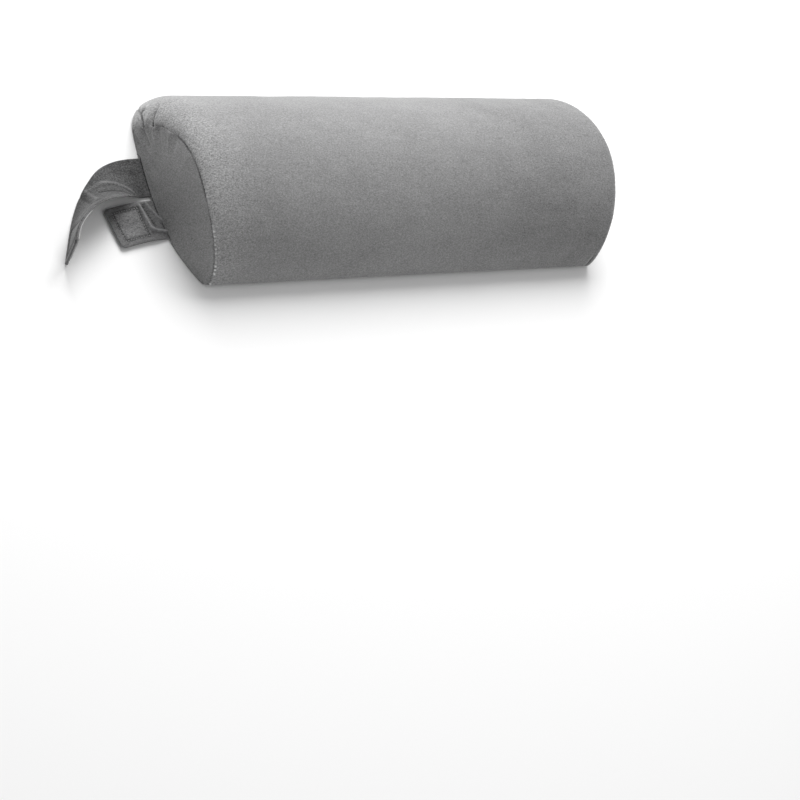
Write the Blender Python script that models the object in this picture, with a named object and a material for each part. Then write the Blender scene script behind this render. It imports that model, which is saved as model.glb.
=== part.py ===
"""Headrest pillow: a half-moon bolster in a velvet cover, lying on its flat back, with its two straps.

Metres, +Z up. The origin is the centre of the flat back. +X runs along the bolster's length, and +Y
towards the edge that is its upper one in use.
"""

import math

import bmesh
import bpy
import numpy as np
from mathutils import Vector

# The bolster: seam to seam along X, edge to edge along Y, and its crown above the flat back
LENGTH = 0.622
LOW_REACH = 0.1180
HIGH_REACH = 0.1130
DEPTH = LOW_REACH + HIGH_REACH
HEIGHT = 0.0965
ARCH_POWER = 1.83
BACK_ROUND = 0.008

# The two ends of the cover. The draws pull the seam inwards at the lower and the upper corner, the tucks
# shrink the section there, and round_over is how far from the seam that begins.
ENDS = (
    {
        "side": -1,
        "low_draw": 0.022,
        "high_draw": -0.0035,
        "low_tuck": 0.01,
        "high_tuck": 0.32,
        "round_over": 0.037,
    },
    {
        "side": 1,
        "low_draw": 0.0085,
        "high_draw": 0.007,
        "low_tuck": 0.08,
        "high_tuck": 0.012,
        "round_over": 0.009,
    },
)
BACK_BOW = 0.010
PANEL_DOME = 0.006
SEAM_DIP = 0.001

# Folds gathered into an end seam. place is 0 at the lower back corner and 1 at the upper one, and slant is
# how fast a fold moves that way as it leaves the seam, per metre.
PLEATS = (
    {"side": -1, "place": 0.895, "reach": 0.022, "depth": 0.0040, "half_width": 0.020, "slant": 6.0},
    {"side": -1, "place": 0.812, "reach": 0.024, "depth": 0.0030, "half_width": 0.018, "slant": 1.5},
)

# The straps are velvet sewn double, and the tapes lie under or on their free ends.
STRAP_WIDTH = 0.048
STRAP_THICK = 0.003
STRAP_CHAMFER = 0.0008
TAPE_THICK = 0.0016
TAPE_CHAMFER = 0.0004
TAPE_SIDE = 0.042
TAPE_INSET = 0.004
GAP = 0.0003
LANE_SIDE_ROOM = 0.001

# Centre lines on the floor, from the sewn end on. roll turns a strap from flat, 0, to its edge, 90.
SHORT_UNDER = (
    {"x": -0.245, "y": -0.0310, "roll": 0},
    {"x": -0.275, "y": -0.0310, "roll": 0},
    {"x": -0.305, "y": -0.0316, "roll": 0},
    {"x": -0.330, "y": -0.0345, "roll": 0},
)
SHORT_FREE = (
    {"x": -0.350, "y": -0.0372, "roll": 0},
    {"x": -0.385, "y": -0.0440, "roll": 0},
)
SHORT_RISE = {"from_x": -0.3215, "to_x": -0.3385}
LONG_UNDER = (
    {"x": 0.275, "y": 0.0500, "roll": 0},
    {"x": 0.100, "y": 0.0405, "roll": 0},
    {"x": -0.100, "y": 0.0300, "roll": 0},
    {"x": -0.270, "y": 0.0210, "roll": 0},
    {"x": -0.330, "y": 0.0182, "roll": 0},
)
LONG_FREE = (
    {"x": -0.344, "y": 0.0166, "roll": 4},
    {"x": -0.363, "y": 0.0112, "roll": 15},
    {"x": -0.3843, "y": -0.0010, "roll": 36},
    {"x": -0.4058, "y": -0.0150, "roll": 59},
    {"x": -0.4252, "y": -0.0304, "roll": 80},
    {"x": -0.4416, "y": -0.0477, "roll": 96},
    {"x": -0.4538, "y": -0.0652, "roll": 104},
    {"x": -0.4620, "y": -0.0815, "roll": 105},
)

# How finely each piece is divided
ARCH_STEPS = 80
ARCH_GATHER = 0.6
BACK_STEPS = 10
MIDDLE_STEPS = 14
ROUND_SHARES = (0.0, 0.04, 0.11, 0.21, 0.34, 0.5, 0.72, 1.0)
PANEL_RINGS = (0.97, 0.86, 0.62, 0.32)
SHORT_STATIONS = 22
LONG_STATIONS = 84
TAPE_STATIONS = 9
LANE_STATIONS = 16
HEADING_STEP = 0.003

VELVET = (0.235, 0.235, 0.237)
STRAP_VELVET = (0.150, 0.150, 0.152)
TAPE_GREY = (0.300, 0.300, 0.305)


def clear_scene():
    for thing in list(bpy.data.objects):
        bpy.data.objects.remove(thing, do_unlink=True)


def material(name, colour, roughness):
    made = bpy.data.materials.new(name)
    made.use_nodes = True
    made.diffuse_color = (*colour, 1.0)
    shader = made.node_tree.nodes["Principled BSDF"]
    shader.inputs["Base Color"].default_value = (*colour, 1.0)
    shader.inputs["Roughness"].default_value = roughness
    shader.inputs["Metallic"].default_value = 0.0
    return made


def add_object(mesh, name, finish):
    """Turns a bmesh into a named object whose faces point out."""
    bmesh.ops.recalc_face_normals(mesh, faces=mesh.faces)
    data = bpy.data.meshes.new(name)
    mesh.to_mesh(data)
    mesh.free()
    data.shade_smooth()
    data.set_sharp_from_angle(angle=math.radians(40))
    data.materials.append(finish)
    made = bpy.data.objects.new(name, data)
    bpy.context.scene.collection.objects.link(made)
    return made


def bridge(mesh, before, after):
    """Quads between two rings of the same number of points."""
    for index, vertex in enumerate(before):
        following = (index + 1) % len(before)
        mesh.faces.new((vertex, before[following], after[following], after[index]))


def smooth_step(share):
    share = min(1.0, max(0.0, share))
    return share * share * (3.0 - 2.0 * share)


def even(first, last, count):
    return [first + (last - first) * step / (count - 1) for step in range(count)]


def section_outline():
    """The closed section as (y, z, place): the arch from the lower back corner up, then the back."""
    outline = []
    for step in even(0.0, 1.0, ARCH_STEPS + 1):
        place = step - ARCH_GATHER * math.sin(math.tau * step) / math.tau
        angle = math.pi * place
        across = -math.cos(angle)
        reach = LOW_REACH if across < 0.0 else HIGH_REACH
        y = reach * math.copysign(abs(across) ** (2 / ARCH_POWER), across)
        z = round(HEIGHT * abs(math.sin(angle)) ** (2 / ARCH_POWER), 9)
        below = 1.0 - min(1.0, z / BACK_ROUND)
        y -= math.copysign(BACK_ROUND * (1.0 - math.sqrt(1.0 - below * below)), y)
        outline.append((y, z, place))
    back = even(HIGH_REACH - BACK_ROUND, BACK_ROUND - LOW_REACH, BACK_STEPS + 1)
    outline += [(y, 0.0, None) for y in back[1:-1]]
    return outline


def seam_x(end, y, z):
    """Where an end seam passes a point of the section: drawn in at the corners, bowed out on the back."""
    across = 2 * y / DEPTH
    on_back = 1.0 - min(1.0, z / (2 * BACK_ROUND))
    inward = end["low_draw"] * max(0.0, -across) ** 3 + end["high_draw"] * max(0.0, across) ** 3
    outward = BACK_BOW * on_back * (1.0 - across * across)
    return end["side"] * (LENGTH / 2 - inward + outward)


def tuck(end, y, from_seam):
    """The share by which the section has shrunk at a distance from an end seam."""
    near = 1.0 - min(1.0, from_seam / end["round_over"])
    high = 0.5 + y / DEPTH
    most = end["low_tuck"] * (1.0 - high) + end["high_tuck"] * high
    return most * (1.0 - math.sqrt(1.0 - near * near))


def pleat_depth(side, place, from_seam):
    depth = 0.0
    for pleat in PLEATS:
        if place is not None and pleat["side"] == side:
            along = 1.0 - smooth_step(from_seam / pleat["reach"])
            middle = pleat["place"] + pleat["slant"] * from_seam
            across = 1.0 - smooth_step(abs(place - middle) / pleat["half_width"])
            depth += pleat["depth"] * along * across
    return depth


def cover_point(y, z, place, share):
    """A point of the cover at a share of the way from the left seam to the right one."""
    left, right = (seam_x(end, y, z) for end in ENDS)
    x = left + (right - left) * share
    scale = 1.0
    sink = 0.0
    for end in ENDS:
        from_seam = abs(x - seam_x(end, y, z))
        scale -= tuck(end, y, from_seam)
        sink += pleat_depth(end["side"], place, from_seam)
        sink += SEAM_DIP * (1.0 - smooth_step(from_seam / (4 * SEAM_DIP)))
    if z > 0.0:
        scale *= 1.0 - sink / math.hypot(y, z)
    return Vector((x, y * scale, z * scale))


def length_shares():
    """Stations along the length, close together where the ends round over."""
    left, right = (end["round_over"] / LENGTH for end in ENDS)
    shares = [left * part for part in ROUND_SHARES]
    shares += even(left, 1.0 - right, MIDDLE_STEPS + 1)[1:-1]
    shares += [1.0 - right * part for part in reversed(ROUND_SHARES)]
    return shares


def close_end(mesh, rim, side):
    """An end panel: rings that shrink from the seam to the middle of a low dome."""
    middle = sum((vertex.co for vertex in rim), Vector()) / len(rim)
    middle.x = side * (LENGTH / 2 + PANEL_DOME)
    before = rim
    for share in PANEL_RINGS:
        after = []
        for vertex in rim:
            point = middle.lerp(vertex.co, share)
            point.x = middle.x + (vertex.co.x - middle.x) * share * share
            after.append(mesh.verts.new(point))
        bridge(mesh, before, after)
        before = after
    top = mesh.verts.new(middle)
    for index, vertex in enumerate(before):
        mesh.faces.new((vertex, before[(index + 1) % len(before)], top))


def make_bolster():
    mesh = bmesh.new()
    outline = section_outline()
    rings = []
    for share in length_shares():
        rings.append([mesh.verts.new(cover_point(y, z, place, share)) for y, z, place in outline])
    for before, after in zip(rings, rings[1:]):
        bridge(mesh, before, after)
    close_end(mesh, rings[0], -1)
    close_end(mesh, rings[-1], 1)
    bolster = add_object(mesh, "pillow", material("cover_velvet", VELVET, 0.85))
    press_lane(bolster, "long_lane", LONG_UNDER)
    press_lane(bolster, "short_lane", SHORT_UNDER)


def steps_between(rows):
    return [math.dist((a["x"], a["y"]), (b["x"], b["y"])) for a, b in zip(rows, rows[1:])]


def follow(rows, distances):
    """x, y and roll at distances along a smooth curve that never swings past one of its rows."""
    values = np.array([[row["x"], row["y"], row["roll"]] for row in rows])
    steps = np.array(steps_between(rows))
    knots = np.concatenate([[0.0], np.cumsum(steps)])
    rises = np.diff(values, axis=0) / steps[:, None]
    before, after = rises[:-1], rises[1:]
    same_way = before * after > 0
    inner = np.where(same_way, 2 * before * after / np.where(same_way, before + after, 1.0), 0.0)
    slopes = np.concatenate([rises[:1], inner, rises[-1:]])
    at = np.asarray(distances)
    index = np.clip(np.searchsorted(knots, at, side="right") - 1, 0, len(rows) - 2)
    span = steps[index][:, None]
    part = (at - knots[index])[:, None] / span
    return (
        values[index] * (1 + 2 * part) * (1 - part) ** 2
        + slopes[index] * span * part * (1 - part) ** 2
        + values[index + 1] * (3 - 2 * part) * part**2
        + slopes[index + 1] * span * (part - 1) * part**2
    )


def band_outline(width, thick, chamfer):
    """A band's section as (across, up) points, with its edges taken off."""
    side, half = width / 2, thick / 2
    corner = [(side - chamfer, -half), (side, -half + chamfer), (side, half - chamfer), (side - chamfer, half)]
    return corner + [(-across, -up) for across, up in corner]


def band_stations(rows, distances, outline, rise=None):
    """Centre, across and up at each distance, the outline's lowest point on the floor or at its rise."""
    stations = []
    ends = [(at - HEADING_STEP, at, at + HEADING_STEP) for at in distances]
    for before, here, after in (follow(rows, triple) for triple in ends):
        heading = Vector((*(after[:2] - before[:2]), 0.0)).normalized()
        angle = math.radians(here[2])
        across = Vector((-heading.y, heading.x, 0.0)) * math.cos(angle) + Vector((0.0, 0.0, math.sin(angle)))
        up = heading.cross(across)
        lowest = min(across.z * side + up.z * height for side, height in outline)
        lifted = rise(here[0]) if rise else 0.0
        stations.append((Vector((here[0], here[1], lifted - lowest)), across, up))
    return stations


def add_band(name, stations, outline, finish):
    mesh = bmesh.new()
    rings = []
    for centre, across, up in stations:
        rings.append([mesh.verts.new(centre + across * side + up * height) for side, height in outline])
    for before, after in zip(rings, rings[1:]):
        bridge(mesh, before, after)
    mesh.faces.new(rings[0])
    mesh.faces.new(reversed(rings[-1]))
    return add_object(mesh, name, finish)


def press_lane(bolster, name, rows):
    """Presses a strap's lane into the flat back, a little wider and deeper than the strap."""
    side = STRAP_WIDTH / 2 + LANE_SIDE_ROOM
    deep = STRAP_THICK + GAP
    outline = [(-side, -deep), (side, -deep), (side, deep), (-side, deep)]
    distances = even(-LANE_SIDE_ROOM, sum(steps_between(rows)), LANE_STATIONS)
    stations = [
        (Vector((centre.x, centre.y, 0.0)), across, up)
        for centre, across, up in band_stations(rows, distances, outline)
    ]
    cutter = add_band(name, stations, outline, material(name, STRAP_VELVET, 0.85))
    cutter.hide_render = True
    cutter.display_type = "WIRE"
    lane = bolster.modifiers.new(name, "BOOLEAN")
    lane.operation = "DIFFERENCE"
    lane.solver = "EXACT"
    lane.object = cutter


def tape_distances(rows):
    end = sum(steps_between(rows)) - TAPE_INSET
    return even(end - TAPE_SIDE, end, TAPE_STATIONS)


def short_rise(x):
    """The short strap climbs onto the tape under its free end."""
    share = (SHORT_RISE["from_x"] - x) / (SHORT_RISE["from_x"] - SHORT_RISE["to_x"])
    return (TAPE_THICK + GAP) * smooth_step(share)


def make_short_strap():
    rows = SHORT_UNDER + SHORT_FREE
    outline = band_outline(STRAP_WIDTH, STRAP_THICK, STRAP_CHAMFER)
    distances = even(0.0, sum(steps_between(rows)), SHORT_STATIONS)
    stations = band_stations(rows, distances, outline, short_rise)
    add_band("short_strap", stations, outline, material("short_strap_velvet", STRAP_VELVET, 0.85))
    outline = band_outline(TAPE_SIDE, TAPE_THICK, TAPE_CHAMFER)
    stations = band_stations(rows, tape_distances(rows), outline)
    add_band("loop_tape", stations, outline, material("loop_tape_nylon", TAPE_GREY, 0.95))


def make_long_strap():
    rows = LONG_UNDER + LONG_FREE
    outline = band_outline(STRAP_WIDTH, STRAP_THICK, STRAP_CHAMFER)
    distances = even(0.0, sum(steps_between(rows)), LONG_STATIONS)
    stations = band_stations(rows, distances, outline)
    add_band("long_strap", stations, outline, material("long_strap_velvet", STRAP_VELVET, 0.85))
    off = STRAP_THICK / 2 + GAP + TAPE_THICK / 2
    shift = (STRAP_WIDTH - TAPE_SIDE) / 2
    stations = [
        (centre - up * off + across * shift, across, up)
        for centre, across, up in band_stations(rows, tape_distances(rows), outline)
    ]
    outline = band_outline(TAPE_SIDE, TAPE_THICK, TAPE_CHAMFER)
    add_band("hook_tape", stations, outline, material("hook_tape_nylon", TAPE_GREY, 0.6))


clear_scene()
make_bolster()
make_short_strap()
make_long_strap()
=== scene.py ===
"""The looks of the headrest pillow: its velvet cover, its two straps with their tapes, and the studio.

Metres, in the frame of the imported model: +X along the bolster, +Y towards its upper edge in use, +Z up from
its flat back. The sizes of the main shapes repeat the values of the part's source.
"""

import math

import bmesh
import bpy
import numpy as np
from mathutils import Matrix, Vector, noise


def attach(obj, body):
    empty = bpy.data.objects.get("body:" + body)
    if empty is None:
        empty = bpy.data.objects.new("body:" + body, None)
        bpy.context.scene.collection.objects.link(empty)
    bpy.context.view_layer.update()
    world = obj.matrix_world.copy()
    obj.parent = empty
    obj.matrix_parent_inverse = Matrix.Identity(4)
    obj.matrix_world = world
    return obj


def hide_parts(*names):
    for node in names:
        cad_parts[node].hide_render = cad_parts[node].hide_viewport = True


# The bolster: seam to seam along X, edge to edge along Y, and its crown above the flat back
LENGTH = 0.622
LOW_REACH = 0.1180
HIGH_REACH = 0.1130
DEPTH = LOW_REACH + HIGH_REACH
HEIGHT = 0.0965
ARCH_POWER = 1.83
BACK_ROUND = 0.008
CORNER_GATHER = 0.35
ENDS = (
    {
        "side": -1,
        "low_draw": 0.022,
        "high_draw": -0.0035,
        "low_tuck": 0.01,
        "high_tuck": 0.32,
        "round_over": 0.037,
    },
    {
        "side": 1,
        "low_draw": 0.0085,
        "high_draw": 0.007,
        "low_tuck": 0.08,
        "high_tuck": 0.012,
        "round_over": 0.009,
    },
)
BACK_BOW = 0.010
PANEL_DOME = 0.006

# Folds gathered into an end seam. place is 0 at the lower back corner and 1 at the upper one. slant moves a
# fold along the seam as it runs away from it, per metre.
PLEATS = (
    {"side": -1, "place": 0.895, "reach": 0.022, "depth": 0.0040, "half_width": 0.020, "slant": 6.0},
    {"side": -1, "place": 0.812, "reach": 0.024, "depth": 0.0030, "half_width": 0.018, "slant": 1.5},
)

# The cover's relaxation: how tightly it keeps to the foam, and how much cloth it has to spare
HOLD_BODY = 0.16
HOLD_PANEL = 0.10
EASE_BODY = 0.12
EASE_GATHERS = 1.0
SPARE_CLOTH = -0.05
COVER_PRESSURE = 4.0
MOST_MOVE = 0.006
RELAX_FRAMES = 20

# Where the cloth has to spare, how high the held back reaches, and how far folds start from a seam
GATHERS = {"reach": 0.07, "from_place": 0.55, "run": 0.2}
HELD_HEIGHT = 0.001
FOLD_START = 0.003

# The end seams' groove, and the puckers that its thread draws in
GROOVE_DEPTH = 0.0010
GROOVE_HALF_WIDTH = 0.0010
PUCKER_PITCH = 0.0052
PUCKER_HEIGHT = 0.00042
PUCKER_REACH = 0.0055
PUCKER_START = 0.0012
PANEL_PUCKERS = 0.5
FLAT_HEIGHT = 0.0015

# The sharp creases in the gathers: how narrow and deep beside their fold, and how they wander and taper
CREASE_NARROW = 0.36
CREASE_SHARE = 0.5
CREASE_WOBBLE = 0.0035
CREASE_WOBBLE_LENGTH = 0.0026
CREASE_WOBBLE_TURN = 40.0
CREASE_TAPER = 0.5

# Unevenness: changes a metre, the seed of its noise, and its strength or height
SEAM_SWING = {"scale": 60.0, "seed": 3, "strength": 3.0}
PUCKER_CHANGE = {"scale": 28.0, "seed": 5, "usual": 0.6, "most": 0.5}
DRAWN_CHANGE = {"scale": 34.0, "seed": 11, "usual": 0.5, "strength": 1.6}
GLINT_CHANGE = {"scale": 70.0, "seed": 13, "usual": 0.75, "strength": 2.0}
FOAM_CHANGES = (
    {"scale": 22.0, "seed": 1, "height": 0.0006},
    {"scale": 75.0, "seed": 2, "height": 0.00022},
)
FOAM_FULL_HEIGHT = 0.02
STRAP_CHANGE = {"scale": 160.0, "seed": 7, "height": 0.00012}
SEED_SHIFT = (7.31, 3.17, 5.77)

# Puffs of the cover between its gathers, and the short creases that run along a seam near its corner
PUFFS = (
    {"side": -1, "place": 0.855, "reach": 0.019, "height": 0.0025, "half_width": 0.018},
    {"side": -1, "place": 0.940, "reach": 0.017, "height": 0.0019, "half_width": 0.016},
    {"side": -1, "place": 0.768, "reach": 0.022, "height": 0.0012, "half_width": 0.018},
)
CORNER_CREASES = (
    {"side": -1, "place": 0.905, "run": 0.022, "away": 0.0058, "height": -0.0016, "half_width": 0.0016},
    {"side": -1, "place": 0.885, "run": 0.016, "away": 0.0088, "height": 0.0008, "half_width": 0.0016},
    {"side": 1, "place": 0.060, "run": 0.055, "away": 0.0125, "height": -0.0012, "half_width": 0.0014},
    {"side": 1, "place": 0.065, "run": 0.050, "away": 0.0155, "height": 0.0010, "half_width": 0.0014},
    {"side": 1, "place": 0.050, "run": 0.035, "away": 0.0090, "height": 0.0009, "half_width": 0.0014},
)
SEAM_PATCHINESS = 0.6

# Painted shade and highlight on the cover's pile: painted shade in the seam's groove and in creases,
# painted highlight on crease ridges and where stitches glint, painted shade on the left end panel and
# towards the right end, and painted light on the middle of the front
SEAM_SHADE = {"tone": 1.3, "half_width": 0.0010}
CREASE_SHADE = 400.0
CORNER_CREASE_SHADE = -1400.0
GLINT = {"tone": 6.0, "away": 0.0019, "half_width": 0.0012, "usual": 0.08, "from_place": 0.25, "run": 0.25}
PANEL_SHADE = {"tone": 0.8, "from_y": 0.015, "run": 0.062}
PANEL_CORNER_SHADE = {"tone": 0.5, "from_y": 0.072, "run": 0.02, "from_z": 0.018}
# Painted shade towards the right end, and painted light on the middle of the front
PAINTED_SHADE_RIGHT = {"tone": 0.33, "from_x": 0.02, "run": 0.25}
PAINTED_LIGHT_FRONT = {"tone": -0.28, "x": -0.04, "half_length": 0.24, "place": 0.20, "half_width": 0.12}
CRUSHED_END = 0.045

# Soft folds of the end panels, from their seam inwards, and how far each spreads along the seam
PANEL_FOLDS = (
    {"side": -1, "place": 0.960, "reach": 0.050, "height": 0.0017, "half_width": 0.016},
    {"side": -1, "place": 0.905, "reach": 0.060, "height": -0.0019, "half_width": 0.020},
    {"side": -1, "place": 0.820, "reach": 0.050, "height": 0.0019, "half_width": 0.018},
    {"side": -1, "place": 0.775, "reach": 0.040, "height": -0.0014, "half_width": 0.014},
    {"side": -1, "place": 0.690, "reach": 0.034, "height": 0.0013, "half_width": 0.016},
    {"side": -1, "place": 0.640, "reach": 0.030, "height": -0.0010, "half_width": 0.014},
    {"side": -1, "place": 0.520, "reach": 0.026, "height": 0.0008, "half_width": 0.018},
    {"side": 1, "place": 0.800, "reach": 0.045, "height": -0.0008, "half_width": 0.020},
    {"side": 1, "place": 0.560, "reach": 0.035, "height": 0.0006, "half_width": 0.020},
    {"side": 1, "place": 0.300, "reach": 0.040, "height": -0.0007, "half_width": 0.018},
)

# The straps are velvet sewn double, and the tapes lie under or on their free ends.
STRAP_WIDTH = 0.048
STRAP_THICK = 0.003
STRAP_CHAMFER = 0.0008
STRAP_CORNER = 0.005
TAPE_THICK = 0.0016
TAPE_SIDE = 0.042
TAPE_INSET = 0.004
TAPE_WEB = 0.0008
GAP = 0.0003
HEADING_STEP = 0.003
BOX_SIDE = 0.034
BOX_INSET = 0.0085
BOX_SOFTNESS = 0.003
SEWN_BOX_SHARE = 0.7
STITCH_PITCH = 0.0034
STITCH_LENGTH = 0.0028
STITCH_THICK = 0.0007
STITCH_DIP = 0.62
STITCH_DIP_HALF_WIDTH = 0.0015
STITCH_PROUD = 0.15
STITCH_LINE_STEP = 0.0006
HOOK_PITCH = 0.0016
HOOK_HEIGHT = 0.0009
HOOK_THICK = 0.00022
HOOK_ARC = {"Start": (0.0, 0.0, -0.1), "Middle": (0.05, 0.0, 1.5), "End": (0.62, 0.0, 0.55)}
HOOKS_WITHIN = 0.92
TAPE_STEPS = 43
SELVEDGE_THINNER = 0.35
SELVEDGE_WIDTH = 0.0012
SEAT = 0.0001
LANE_SIDE_ROOM = 0.0015
LANE_DEEP = 0.0034
LANE_EDGE = 0.004
LANE_SAMPLES = 160

# Centre lines on the floor, from the sewn end on. roll turns a strap from flat, 0, to its edge, 90.
SHORT_UNDER = (
    {"x": -0.245, "y": -0.0310, "roll": 0},
    {"x": -0.275, "y": -0.0310, "roll": 0},
    {"x": -0.305, "y": -0.0316, "roll": 0},
    {"x": -0.330, "y": -0.0345, "roll": 0},
)
SHORT_FREE = (
    {"x": -0.350, "y": -0.0372, "roll": 0},
    {"x": -0.385, "y": -0.0440, "roll": 0},
)
SHORT_RISE = {"from_x": -0.3215, "to_x": -0.3385}
LONG_UNDER = (
    {"x": 0.275, "y": 0.0500, "roll": 0},
    {"x": 0.100, "y": 0.0405, "roll": 0},
    {"x": -0.100, "y": 0.0300, "roll": 0},
    {"x": -0.270, "y": 0.0210, "roll": 0},
    {"x": -0.330, "y": 0.0182, "roll": 0},
)
LONG_FREE = (
    {"x": -0.344, "y": 0.0166, "roll": 4},
    {"x": -0.363, "y": 0.0112, "roll": 15},
    {"x": -0.3843, "y": -0.0010, "roll": 36},
    {"x": -0.4058, "y": -0.0150, "roll": 59},
    {"x": -0.4252, "y": -0.0304, "roll": 80},
    {"x": -0.4416, "y": -0.0477, "roll": 96},
    {"x": -0.4538, "y": -0.0652, "roll": 104},
    {"x": -0.4620, "y": -0.0815, "roll": 105},
)

# Creases of a strap's free part, as lines from one (along, across) to another. along is measured from the
# free end, and a height below zero is a hollow.
SHORT_CREASES = (
    {"from": (0.0455, -0.0200), "to": (0.0490, 0.0110), "height": 0.0026, "half_width": 0.0018},
    {"from": (0.0490, 0.0110), "to": (0.0720, 0.0165), "height": 0.0030, "half_width": 0.0018},
    {"from": (0.0515, -0.0180), "to": (0.0570, 0.0060), "height": -0.0016, "half_width": 0.0028},
    {"from": (0.0560, -0.0210), "to": (0.0680, 0.0020), "height": 0.0016, "half_width": 0.0022},
    {"from": (0.0100, 0.0000), "to": (0.0400, -0.0030), "height": -0.0005, "half_width": 0.0060},
)
LONG_CREASES = (
    {"from": (0.150, 0.018), "to": (0.118, -0.010), "height": 0.0013, "half_width": 0.0026},
    {"from": (0.132, 0.022), "to": (0.102, -0.002), "height": -0.0012, "half_width": 0.0030},
    {"from": (0.124, -0.006), "to": (0.096, -0.018), "height": 0.0009, "half_width": 0.0022},
    {"from": (0.098, -0.020), "to": (0.082, 0.006), "height": 0.0012, "half_width": 0.0024},
    {"from": (0.090, -0.022), "to": (0.074, 0.002), "height": -0.0011, "half_width": 0.0024},
    {"from": (0.070, 0.020), "to": (0.052, 0.000), "height": 0.0009, "half_width": 0.0022},
)
STRAP_ROLLED_EDGE = 0.20
ROLLED_EDGE_WIDTH = 0.006
HEM_BLUNT = 0.98

# Painted shade and highlight on a strap's pile: painted shade on its free part's upper face, this far from
# its free end, painted shade along its stitches and in hollows, painted highlight on ridges and its edges
PAINTED_SHADE_LENGTH = 0.21
PAINTED_SHADE_RUN = 0.05
STITCH_PAINTED_SHADE = 1.6
STITCH_PAINTED_SHADE_HALF_WIDTH = 0.0018
CREASE_PAINTED_SHADING = 900.0
CREASE_PAINTED_SHADING_SHARE = 0.6
EDGE_PAINTED_HIGHLIGHT = 0.8
EDGE_PAINTED_HIGHLIGHT_WIDTH = 0.0011
STRAP_CRUSHED = 0.35

# How a strap's mesh is divided: away from its edges, from its ends, and over its middle
STRAP_EDGE_STEPS = (0.0, 0.00012, 0.0005, 0.0011, 0.0019, 0.003)
STRAP_END_STEPS = (0.0, 0.0002, 0.0006, 0.0012, 0.002)
STRAP_MIDDLE_STEPS = 15

# Colours, as light reflected
VELVET = (0.235, 0.235, 0.236)
# The straps' velvet: the cover's velvet made darker with painted shade
STRAP_VELVET_PAINTED_SHADE = (0.118, 0.118, 0.119)
THREAD = (0.26, 0.26, 0.26)
HOOK_GREY = (0.42, 0.42, 0.42)
LOOP_GREY = (0.30, 0.30, 0.30)
HOOK_WEAVE = {"Rib Scale": 520.0, "Rib Depth": 0.9, "Mottling Scale": 900.0}
LOOP_WEAVE = {"Rib Scale": 260.0, "Rib Depth": 0.25, "Mottling Scale": 1500.0}
FLOOR_WHITE = (0.88, 0.88, 0.88)

# The pile's noise, from brushed patches to single hairs, how its lie is turned, and each share in its looks
PILE_NOISE = {
    "broad": {"scale": 13.0, "detail": 3.0, "stretch": (1.0, 1.4, 1.4), "distortion": 0.6},
    "strokes": {"scale": 60.0, "detail": 3.0, "stretch": (0.45, 1.6, 1.0), "distortion": 0.4},
    "nap": {"scale": 540.0, "detail": 3.0, "stretch": (0.8, 1.3, 1.0), "distortion": 0.3},
    "tufts": {"scale": 1100.0, "detail": 2.0, "stretch": (1.0, 1.0, 1.0), "distortion": 0.0},
    "hairs": {"scale": 3200.0, "detail": 1.0, "stretch": (1.0, 1.0, 1.0), "distortion": 0.0},
}
PILE_TURN = 0.35
STROKES_IN_LEAN = 0.6
HAIRS_IN_GRAIN = 0.7
NAP_IN_GRAIN = 1.5
HAIRS_IN_RELIEF = 0.4
NAP_IN_RELIEF = 1.2
CRUSHED_GRAIN = 0.8
CRUSHED_TONE = 0.22
# How much the stored painted shade darkens the pile, and its painted highlight, below zero, lightens it
PAINTED_SHADE_TONE = 0.45
DARKEST_TONE = 0.22
PILE_ROUGHNESS = 0.86
LEAN_ROUGHNESS = -0.5
MOTTLING_IN_WEAVE = 1.4
WEAVE_TONE = 0.75
WEAVE_DARKEST = 0.35
THREAD_SHADES = (0.75, 1.2)

# The camera stands where the photograph's stood, seen from the bolster's own back.
CAMERA_AT = Vector((-1.90151499, -1.04518337, 2.00077435))
CAMERA_RIGHT = Vector((0.75762437, -0.32188558, 0.56779837))
CAMERA_UP = Vector((0.07205225, 0.90586425, 0.41739481))
CAMERA_SENSOR = 36.0
CAMERA_LENS = 112.5

# The studio
FLOOR_HALF_SIDE = 6.0
FLOOR_TOP = -0.0004
WORLD_STRENGTH = 0.46
LIGHT_TARGET = (0.0, 0.0, 0.03)
LIGHTS = (
    {"name": "key", "place": (0.35, 2.05, 1.95), "size": (2.4, 1.8), "power": 124.0},
    {"name": "fill", "place": (0.0, -1.9, 2.2), "size": (1.6, 1.6), "power": 4.0},
)

# Rings for the simulation and for the finished mesh, and how many columns each has
SIM_PANEL = (0.05, 0.2, 0.35, 0.5, 0.64, 0.76, 0.86, 0.94)
SIM_BODY = 112
SIM_ARCH = 72
SIM_BACK = 30
FINER = 4
SEAM_STEPS = (
    0.0003, 0.0007, 0.0012, 0.0018, 0.0025, 0.0034, 0.0045, 0.0058, 0.0074,
    0.009, 0.0106, 0.0122, 0.0138, 0.0154, 0.0171, 0.019, 0.0212
)
PANEL_SEAM_STEPS = SEAM_STEPS[:-3]
BODY_STEP = 0.0039
PANEL_RADIUS = 0.060
PANEL_STEP = 0.0036
PANEL_INNERMOST = 0.97

# Steps for working out the arch evenly, and the least length that is divided by
ARCH_SAMPLES = 6001
CLOSER_AT_CORNERS = 0.6
LEAST = 1e-9


def arch_point(place):
    """y and z on the bolster's arch, rounded under at the two back corners."""
    angle = np.pi * place
    across = -np.cos(angle)
    reach = np.where(across < 0.0, LOW_REACH, HIGH_REACH)
    y = reach * np.sign(across) * np.abs(across) ** (2 / ARCH_POWER)
    z = HEIGHT * np.abs(np.sin(angle)) ** (2 / ARCH_POWER)
    below = 1.0 - np.clip(z / BACK_ROUND, 0.0, 1.0)
    y = y - np.sign(y) * BACK_ROUND * (1.0 - np.sqrt(1.0 - below * below))
    return y, np.where(z < LEAST, 0.0, z)


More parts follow.
